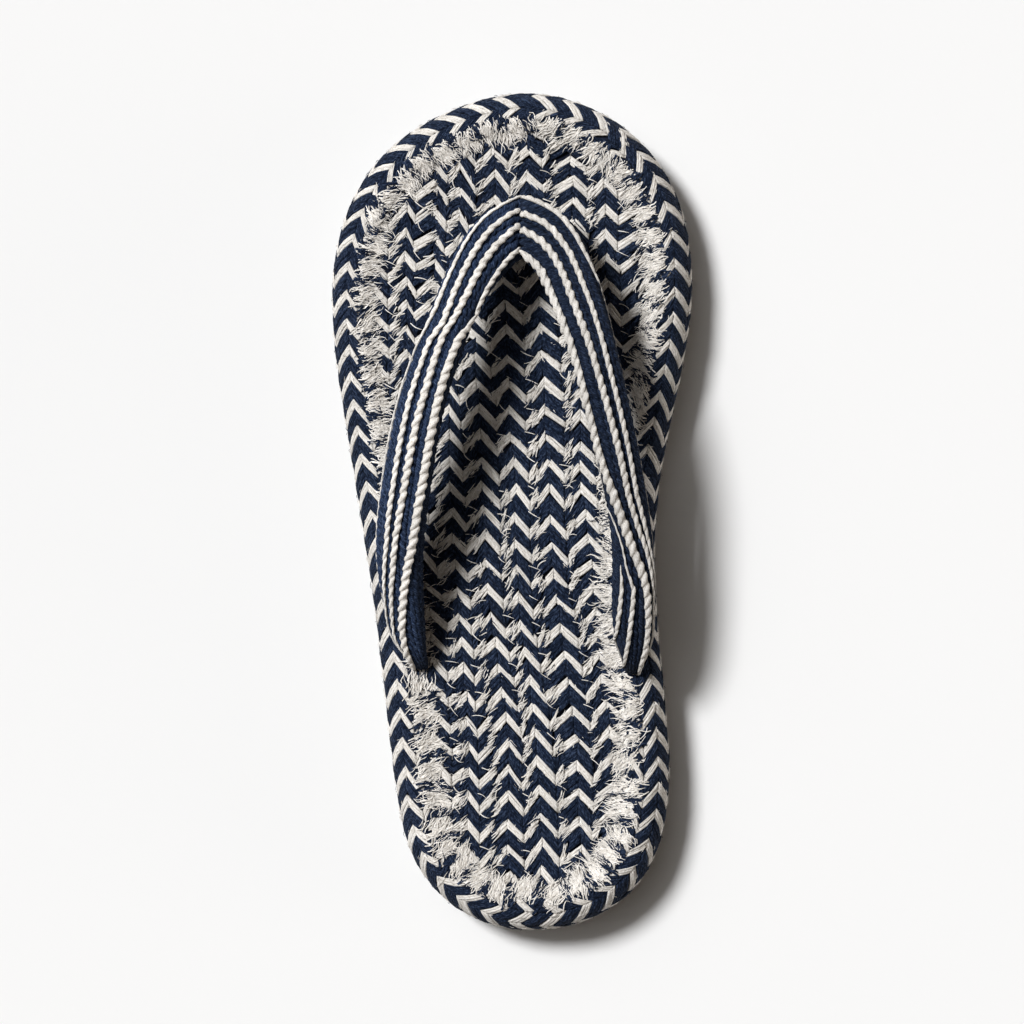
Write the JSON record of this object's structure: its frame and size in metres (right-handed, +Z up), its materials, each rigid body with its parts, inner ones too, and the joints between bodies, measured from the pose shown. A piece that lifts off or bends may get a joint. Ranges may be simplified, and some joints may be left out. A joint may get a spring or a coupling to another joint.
{
  "type": "slipper",
  "caption": "Flat thong slipper for the left foot: a braided navy and cream cotton sole with a thick herringbone edge, a braided footbed and a padded, corded V-shaped strap",
  "frame": {"origin": "on the floor under the middle of the slipper's bounding box", "axes": "+Y to the toe, +X to the inner side of the foot (the big toe side of a left shoe), +Z up"},
  "size_m": [0.11, 0.2548, 0.0522],
  "materials": {
    "sole_cloth": "matte woven cotton, navy",
    "rim_braid": "matte braided cotton, navy with cream chevrons",
    "footbed_braid": "matte braided cotton, navy with cream chevrons and frayed cream ends",
    "strap_cords": "matte corded cotton, navy with twisted cream cords",
    "post_cord": "matte braided cotton cord, navy"
  },
  "bodies": {
    "root": {"sole": "sole_cloth", "rim": "rim_braid", "footbed": "footbed_braid", "strap": "strap_cords", "toe_post": "post_cord"}
  },
  "joints": []
}
